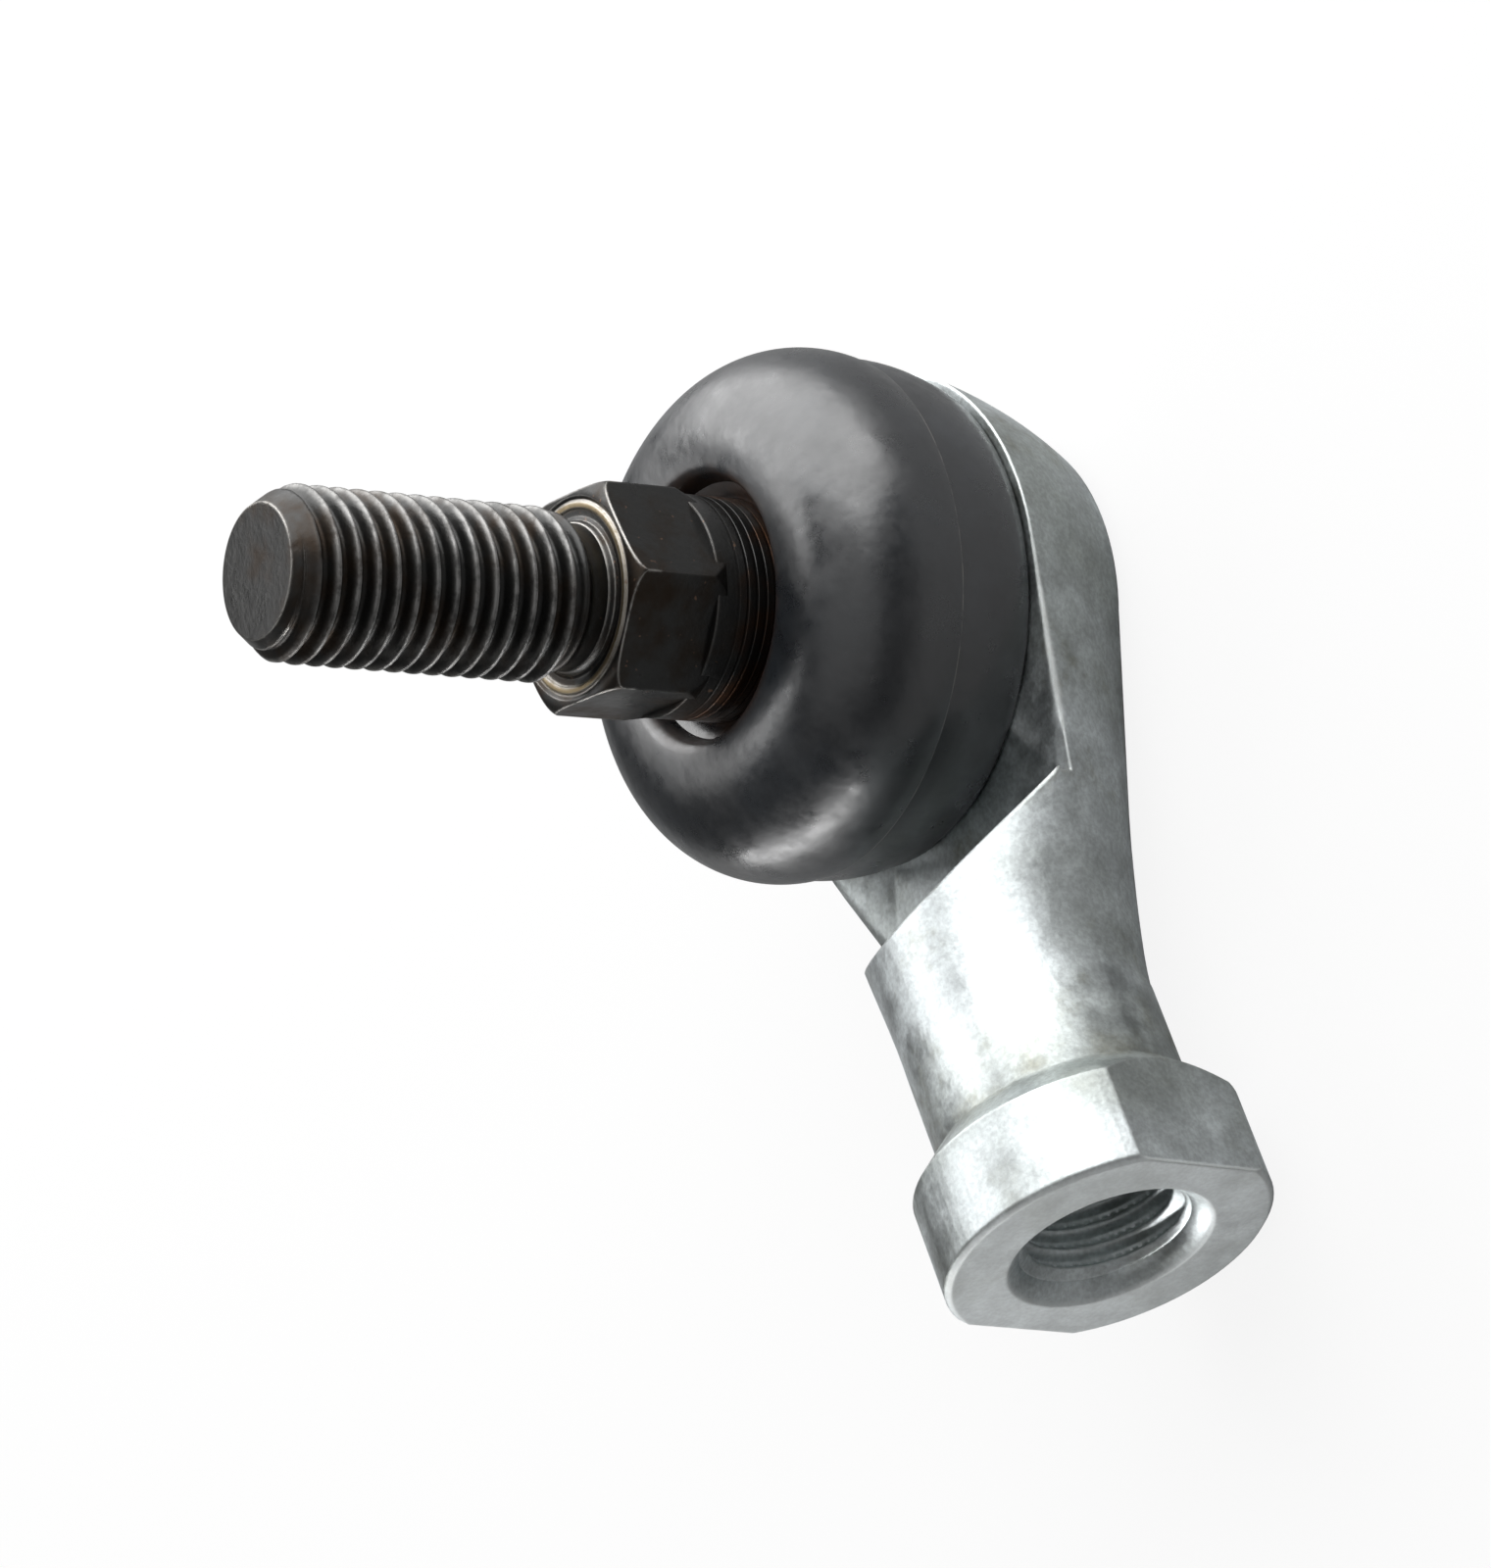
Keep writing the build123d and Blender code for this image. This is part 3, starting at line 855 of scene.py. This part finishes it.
@dataclass
class BallStud:
    """Ball, neck, boot seat, collar, hexagon and thread, turned from one bar."""

    centre_z: float
    finish: Material
    ball_radius: float = 7.144
    neck_radius: float = 4.2
    boot_seat_radius: float = 5.4
    boot_seat_base: float = 7.3
    neck_cone: float = 0.8
    collar_base: float = 9.0
    collar_radius: float = 6.45
    hex_base: float = 14.6
    hex_top: float = 20.8
    hex_width: float = 12.0
    hex_turn: float = 6.0
    hex_corner_radius: float = 6.93
    hex_foot: float = 1.1
    hex_face_radius: float = 5.8
    hex_bevel: float = 0.8
    hex_curve: int = 14
    seat_ring: Point = (5.10, 5.44)
    seat_ring_edge: float = 0.08
    seat_ring_rise: float = 0.16
    thread_foot: tuple[Point, ...] = ((4.62, -0.16), (4.40, -0.05), (4.24, 0.30), (0.0, 0.30))
    overlap: float = 0.6
    edge: float = 0.12
    columns: int = 128
    hex_columns: int = 240
    root_radius: float = 4.19
    crest_radius: float = 4.97
    pitch: float = 1.25
    undercut: float = 1.2
    run_out: float = 1.1
    thread_sink: float = 0.3
    tip: float = 41.16
    tip_radius: float = 3.8
    tip_slope: float = 0.70

    def build_shank(self) -> Piece:
        """Builds everything below the hexagon.

        Returns:
            The shank.
        """
        drop = math.degrees(math.acos(self.neck_radius / self.ball_radius))
        outline = arc((0.0, 0.0), self.ball_radius, -90.0, drop, 48)
        outline[0] = (0.0, -self.ball_radius)
        outline += [
            (self.neck_radius, self.boot_seat_base - self.neck_cone),
            (self.boot_seat_radius, self.boot_seat_base),
            (self.boot_seat_radius, self.collar_base),
            (self.collar_radius - self.edge, self.collar_base),
            (self.collar_radius, self.collar_base + self.edge),
            (self.collar_radius, self.hex_base + self.overlap),
            (0.0, self.hex_base + self.overlap),
        ]
        return finish_mesh("stud_shank", lathe(outline, self.centre_z, self.columns), 32.0)

    def build_hexagon(self) -> Piece:
        """Builds the hexagon with its turned front corners.

        Returns:
            The hexagon.
        """
        top = self.hex_top
        outline = [
            (0.0, self.hex_base),
            (self.collar_radius + 0.02, self.hex_base),
            (self.hex_corner_radius, self.hex_base + self.hex_foot),
        ]
        for step in range(self.hex_curve + 1):
            angle = math.radians(90.0 * step / self.hex_curve)
            reach = (self.hex_corner_radius - self.hex_face_radius) * math.cos(angle) ** 0.85
            drop = self.hex_bevel * (1.0 - math.sin(angle))
            outline.append((self.hex_face_radius + reach, top - drop))
        inner, outer = self.seat_ring
        outline += [
            (outer + self.seat_ring_edge, top - self.seat_ring_rise),
            (outer, top),
            (inner, top),
            (inner - self.seat_ring_edge, top - self.seat_ring_rise),
        ]
        outline += [(radius, top + rise) for radius, rise in self.thread_foot]
        shape = lathe(outline, self.centre_z, self.hex_columns)
        half = self.hex_width / 2.0 * MM
        for side in range(6):
            turn = math.radians(self.hex_turn + 30.0 + 60.0 * side)
            normal = Vector((math.cos(turn), math.sin(turn), 0.0))
            faces = shape.faces[:] + shape.edges[:] + shape.verts[:]
            cut = bmesh.ops.bisect_plane(
                shape, geom=faces, plane_co=normal * half, plane_no=normal, clear_outer=True
            )
            edges = [item for item in cut["geom_cut"] if isinstance(item, bmesh.types.BMEdge)]
            bmesh.ops.holes_fill(shape, edges=edges, sides=0)
        return finish_mesh("stud_hexagon", shape, 20.0)

    def build_thread(self) -> Piece:
        """Builds the male thread with its undercut, run-out and bevelled tip.

        Returns:
            The thread.
        """
        base = self.centre_z / MM
        hex_top = base + self.hex_top
        sizes = (
            *(self.root_radius, self.crest_radius, 0.0, self.pitch),
            *(hex_top - self.thread_sink, base + self.tip),
            *(hex_top + self.undercut, self.run_out, self.tip_radius),
        )
        return ThreadTree(self.finish).cut("stud_thread", sizes, self.tip_slope, (420, 145))

    def dress(self) -> list[Piece]:
        """Builds the stud's pieces and seats them on its body.

        Returns:
            The pieces.
        """
        pieces = [self.build_shank(), self.build_hexagon(), self.build_thread()]
        for piece in pieces:
            if not piece.data.materials:
                piece.data.materials.append(self.finish)
            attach(piece, Body.STUD.value)
            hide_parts("ball_stud")
        return pieces


@dataclass
class Holder:
    """The forged holder with its female thread, the seat and the end cap."""

    centre_z: float
    finish: Material
    seat_finish: Material
    nodes: dict[str, Piece]
    root_radius: float = 5.0
    crest_radius: float = 4.3
    pitch: float = 1.25
    thread_start: float = 26.0
    thread_end: float = 41.98
    run_out: float = 2.0
    skin_gap: float = 0.005
    backing: float = 0.2

    def build_thread(self) -> Piece:
        """Builds the female thread of the rod hole.

        Returns:
            The thread.
        """
        root = self.root_radius - self.skin_gap
        sizes = (
            *(root, self.crest_radius, self.root_radius + self.backing, self.pitch),
            *(self.thread_start, self.thread_end),
            *(self.thread_start, self.run_out, root),
        )
        piece = ThreadTree(self.finish).cut("rod_thread", sizes, 1.0, (300, 129))
        turn = Matrix.Rotation(math.radians(90.0), 4, "Y")
        piece.data.transform(Matrix.Translation((0.0, 0.0, self.centre_z)) @ turn)
        return piece

    def dress(self) -> list[Piece]:
        """Builds the holder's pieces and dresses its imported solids.

        Returns:
            The pieces.
        """
        thread = self.build_thread()
        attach(thread, Body.HOLDER.value)
        body = bmesh.new()
        body.from_mesh(self.nodes["holder"].data)
        bmesh.ops.remove_doubles(body, verts=body.verts, dist=2e-6)
        mesh = bpy.data.meshes.new("holder_skin")
        body.to_mesh(mesh)
        body.free()
        mesh.materials.clear()
        mesh.materials.append(self.finish)
        skin = finish_object("holder_skin", mesh, 15.0)
        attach(skin, Body.HOLDER.value)
        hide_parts("holder")
        for name, material in (("end_cap", self.finish), ("ball_seat", self.seat_finish)):
            mesh = self.nodes[name].data
            mesh.materials.clear()
            mesh.materials.append(material)
        return [skin, thread]


@dataclass
class DustBoot:
    """The moulded boot from the holder's hub to the stud's boot seat."""

    centre_z: float
    finish: Material
    foot_inner: float = 11.094
    foot_outer: float = 14.344
    foot_bottom: float = -0.74
    skirt_swell: float = 0.3
    bulge_inset: float = 5.14
    bulge_height: float = 6.2
    bulge_radius: float = 6.3
    wall: float = 1.2
    bend_start: float = 2.0
    parting_height: float = 4.7
    parting_step: float = 0.16
    channel_radius: float = 7.3
    channel_floor: float = 8.05
    lip_outer: float = 6.5
    lip_inner: float = 5.5
    lip_top: float = 8.9
    lip_bottom: float = 7.6
    crown_turn: float = 100.0
    curl_along: Point = (-0.95, -0.26)
    curl_above: Point = (0.1, 1.1)
    mouth_wall: float = 0.9
    foot_round: Point = (0.25, 0.3)
    foot_edge: float = 0.2
    floor_round: Point = (0.15, 0.25)
    lip_round: Point = (0.15, 0.12)
    inner_turns: Point = (125.0, -42.0)
    inner_foot: tuple[Point, ...] = ((0.6, 1.6), (0.0, 1.4))
    skirt_steps: int = 10
    columns: int = 192

    def outline(self) -> list[Point]:
        """Gives the boot's closed section.

        Returns:
            Distances from the stud axis and heights, in millimetres.
        """
        middle = (self.foot_outer - self.bulge_inset, self.bulge_height)
        rise = self.bulge_height - self.parting_height
        low_turn = -math.degrees(math.asin(rise / self.bulge_radius))
        parting_radius = middle[0] + math.sqrt(self.bulge_radius**2 - rise**2)
        crown = arc(middle, self.bulge_radius, low_turn, self.crown_turn, 44)
        wide, tall = self.foot_round
        points = [
            (self.foot_inner, self.foot_bottom + self.foot_edge),
            (self.foot_inner + self.foot_edge, self.foot_bottom),
            (self.foot_outer - wide, self.foot_bottom),
            (self.foot_outer, self.foot_bottom + tall),
        ]
        skirt_top = parting_radius - self.parting_step
        for step in range(1, self.skirt_steps + 1):
            share = step / self.skirt_steps
            height = self.foot_bottom + tall
            height += share * (self.parting_height - height)
            swell = self.skirt_swell * math.sin(math.pi * share)
            radius = self.foot_outer + share * (skirt_top - self.foot_outer)
            points.append((radius + swell, height))
        points += crown
        mouth = (self.channel_radius, self.channel_floor + self.mouth_wall)
        points += self.curl(crown[-1], mouth, 12)
        floor_wide, floor_tall = self.floor_round
        lip_wide, lip_tall = self.lip_round
        points += [
            (self.channel_radius, self.channel_floor + floor_tall),
            (self.channel_radius - floor_wide, self.channel_floor),
            (self.lip_outer, self.channel_floor),
            (self.lip_outer, self.lip_top - lip_tall),
            (self.lip_outer - lip_wide, self.lip_top),
            (self.lip_inner, self.lip_top),
            (self.lip_inner, self.lip_bottom),
            (self.channel_radius, self.lip_bottom),
        ]
        points += arc(middle, self.bulge_radius - self.wall, *self.inner_turns, 40)
        points += [(self.foot_inner + out, height) for out, height in self.inner_foot]
        return points

    def curl(self, start: Point, end: Point, steps: int) -> list[Point]:
        """Rolls the crown over into the mouth.

        Args:
            start: Last point of the crown.
            end: Top of the straight wall beside the ring.
            steps: Number of chords.

        Returns:
            Points after the start, the end included.
        """
        along = (start[0] + self.curl_along[0], start[1] + self.curl_along[1])
        above = (end[0] + self.curl_above[0], end[1] + self.curl_above[1])
        points = []
        for step in range(1, steps + 1):
            t = step / steps
            weights = ((1 - t) ** 3, 3 * t * (1 - t) ** 2, 3 * t * t * (1 - t), t**3)
            parts = [(w * x, w * y) for w, (x, y) in zip(weights, (start, along, above, end))]
            points.append((sum(x for x, _ in parts), sum(y for _, y in parts)))
        return points

    def dress(self) -> list[Piece]:
        """Builds the boot between the holder and the stud.

        Returns:
            The boot alone.
        """
        shape = lathe(self.outline(), self.centre_z, self.columns)
        boot = finish_mesh("boot_skin", shape, 42.0)
        boot.data.materials.append(self.finish)
        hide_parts("dust_boot")
        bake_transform(boot)
        return [boot]


@dataclass
class MouthRing:
    """Sprung wire ring that grips the boot's mouth."""

    centre_z: float
    finish: Material
    wire_radius: float = 0.16
    turn_radius: float = 6.86
    turn_step: float = 0.30
    turns: int = 4
    inner_radius: float = 6.6
    thickness: float = 0.35
    base: float = 8.15
    width: float = 1.05
    edge: float = 0.08
    columns: int = 128

    def dress(self) -> list[Piece]:
        """Builds the ring and its turns on their body.

        Returns:
            The pieces.
        """
        inner, edge = self.inner_radius, self.edge
        outer, top = inner + self.thickness, self.base + self.width
        outline = [
            (inner, self.base + edge),
            (inner + edge, self.base),
            (outer - edge, self.base),
            (outer, self.base + edge),
            (outer, top - edge),
            (outer - edge, top),
            (inner + edge, top),
            (inner, top - edge),
        ]
        ring = finish_mesh("mouth_ring", lathe(outline, self.centre_z, self.columns), 30.0)
        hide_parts("lip_ring")
        pieces = [ring, self.build_turns()]
        for piece in pieces:
            piece.data.materials.append(self.finish)
            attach(piece, Body.RING.value)
        return pieces

    def build_turns(self) -> Piece:
        """Builds the wire turns that stand above the ring.

        Returns:
            The turns as one piece.
        """
        shape = bmesh.new()
        for turn in range(self.turns):
            height = self.base + self.width + self.wire_radius + turn * self.turn_step
            section = arc((self.turn_radius, height), self.wire_radius, 0.0, 330.0, 11)
            loop = lathe(section, self.centre_z, self.columns)
            mesh = bpy.data.meshes.new("turn")
            loop.to_mesh(mesh)
            loop.free()
            shape.from_mesh(mesh)
            bpy.data.meshes.remove(mesh)
        return finish_mesh("mouth_ring_turns", shape, 60.0)


# --- Studio -------------------------------------------------------------------------------------


@dataclass(frozen=True)
class Lamp:
    """One soft area lamp, placed by its direction from the part."""

    name: str
    towards: tuple[float, float, float]
    distance: float
    size: tuple[float, float]
    power: float


@dataclass
class Studio:
    """Camera, lamps, floor and world."""

    aim: tuple[float, float, float] = (0.005358, -0.009069, 0.015319)
    azimuth: float = 141.84
    elevation: float = 33.71
    roll: float = -86.18
    distance: float = 0.36005
    lens: float = 142.01
    sensor: float = 36.0
    near_clip: float = 0.01
    floor_radius: float = 3.0
    floor_drop: float = 0.0002
    floor_seen: Colour = (0.95, 0.95, 0.95)
    floor_lit: Colour = (0.36, 0.36, 0.36)
    shadow_share: float = 0.12
    world_strength: float = 0.08
    lamps: tuple[Lamp, ...] = field(
        default_factory=lambda: (
            Lamp("key_lamp", (-0.79, 0.31, 0.50), 0.30, (0.70, 0.34), 2.3),
            Lamp("top_lamp", (-0.42, -0.42, 0.80), 0.35, (0.22, 0.22), 0.28),
            Lamp("fill_lamp", (0.25, 0.43, 0.87), 0.35, (0.40, 0.40), 0.16),
            Lamp("low_lamp", (0.66, -0.75, -0.01), 0.28, (0.32, 0.06), 0.55),
        )
    )

    def place_camera(self) -> None:
        """Creates the camera and makes it the scene's own."""
        turn = math.radians(self.azimuth)
        lift = math.radians(self.elevation)
        back = Vector(
            (math.sin(turn) * math.cos(lift), -math.cos(turn) * math.cos(lift), math.sin(lift))
        )
        facing = back.to_track_quat("Z", "Y").to_matrix().to_4x4()
        data = bpy.data.cameras.new("camera")
        data.sensor_width = self.sensor
        data.lens = self.lens
        data.clip_start = self.near_clip
        camera = bpy.data.objects.new("camera", data)
        spin = Matrix.Rotation(math.radians(self.roll), 4, "Z")
        place = Matrix.Translation(Vector(self.aim) + back * self.distance)
        camera.matrix_world = place @ facing @ spin
        bpy.context.scene.collection.objects.link(camera)
        bpy.context.scene.camera = camera

    def hang_lamps(self) -> None:
        """Creates the lamps."""
        for lamp in self.lamps:
            data = bpy.data.lights.new(lamp.name, "AREA")
            data.shape = "RECTANGLE"
            data.size, data.size_y = lamp.size
            data.energy = lamp.power
            item = bpy.data.objects.new(lamp.name, data)
            towards = Vector(lamp.towards).normalized()
            facing = towards.to_track_quat("Z", "Y").to_matrix().to_4x4()
            place = Matrix.Translation(Vector(self.aim) + towards * lamp.distance)
            item.matrix_world = place @ facing
            bpy.context.scene.collection.objects.link(item)

    def lay_floor(self) -> None:
        """Creates the pale floor, which keeps the part's shadow."""
        shape = bmesh.new()
        bmesh.ops.create_circle(shape, cap_ends=True, radius=self.floor_radius, segments=64)
        mesh = bpy.data.meshes.new("floor")
        shape.to_mesh(mesh)
        shape.free()
        floor = bpy.data.objects.new("floor", mesh)
        bpy.context.scene.collection.objects.link(floor)
        floor.data.materials.append(self.floor_material())
        floor.location.z = -self.floor_drop

    def floor_material(self) -> Material:
        """Builds the floor's look: white to the camera, grey to light that bounces off it.

        Returns:
            The material.
        """
        shader = Shader("pale_floor")
        rays = shader.add("ShaderNodeLightPath")
        camera = rays.outputs["Is Camera Ray"]
        tone = shader.blend(camera, self.floor_lit, self.floor_seen)
        lit = shader.add("ShaderNodeBsdfDiffuse", {"Color": tone})
        white = shader.add("ShaderNodeEmission", {"Color": WHITE, "Strength": 1.0})
        seen = shader.times(camera, 1.0 - self.shadow_share)
        mix = shader.add("ShaderNodeMixShader", {0: seen})
        shader.tree.links.new(lit.outputs[0], mix.inputs[1])
        shader.tree.links.new(white.outputs[0], mix.inputs[2])
        output = shader.add("ShaderNodeOutputMaterial")
        shader.tree.links.new(mix.outputs[0], output.inputs["Surface"])
        return shader.material

    def fill_world(self) -> None:
        """Creates the world: white to the camera, soft grey light to the part."""
        world = bpy.data.worlds.new("studio")
        world.use_nodes = True
        graph = Graph(world.node_tree)
        world.node_tree.nodes.clear()
        rays = graph.add("ShaderNodeLightPath")
        strength = graph.math(
            "ADD",
            self.world_strength,
            graph.times(rays.outputs["Is Camera Ray"], 1.0 - self.world_strength),
        )
        glow = graph.add("ShaderNodeBackground", {"Color": WHITE, "Strength": strength})
        output = graph.add("ShaderNodeOutputWorld")
        world.node_tree.links.new(glow.outputs[0], output.inputs["Surface"])
        bpy.context.scene.world = world

    def build(self) -> None:
        """Sets up the whole studio."""
        self.place_camera()
        self.hang_lamps()
        self.lay_floor()
        self.fill_world()
        bpy.context.scene.view_settings.view_transform = "Standard"


def main() -> None:
    """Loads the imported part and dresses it."""
    logging.basicConfig(level=logging.INFO, format="%(name)s: %(message)s")
    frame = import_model()
    tilt = next(joint for joint in frame["joints"] if joint["name"] == "stud_tilt")
    centre_z = tilt["pos_m"][2]
    Studio().build()
    zinc = ZincPlate().material()
    oxide = BlackOxide(centre_z).material()
    rubber = BootRubber(centre_z).material()
    spring = PlainMetal("spring_steel", (0.80, 0.80, 0.80), 0.42).material()
    plastic = SeatPlastic().material()
    assemblies = (
        Holder(centre_z, zinc, plastic, frame["nodes"]),
        BallStud(centre_z, oxide),
        DustBoot(centre_z, rubber),
        MouthRing(centre_z, spring),
    )
    for assembly in assemblies:
        for piece in assembly.dress():
            LOG.info("%s: %d faces", piece.name, len(piece.data.polygons))


if __name__ == "__main__":
    main()
